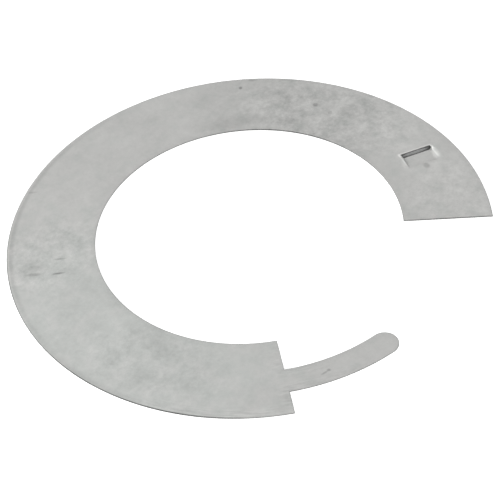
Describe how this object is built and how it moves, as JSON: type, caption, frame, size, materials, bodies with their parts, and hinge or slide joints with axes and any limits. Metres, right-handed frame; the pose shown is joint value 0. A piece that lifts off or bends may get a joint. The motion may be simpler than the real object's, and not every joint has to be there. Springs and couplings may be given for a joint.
{
  "type": "storm collar",
  "caption": "Flat part-ring of galvanised sheet with a tongue on one end and a pressed slot near the other, drawn round a flue pipe to form a rain-shedding cone.",
  "frame": {"origin": "centre of the pipe hole, in the plane of the flat sheet's underside", "axes": "+Z is the pipe hole's axis, square to the sheet, on the side that faces the weather; -Y runs through the middle of the gap between the ring's two ends; +X is on the side of the end that holds the slot"},
  "size_m": [0.2434, 0.2284, 0.002],
  "materials": {
    "galvanised_sheet": "hot-dip galvanised, dull, with a fine mottled spangle"
  },
  "bodies": {
    "root": {"collar": "galvanised_sheet"}
  },
  "joints": []
}
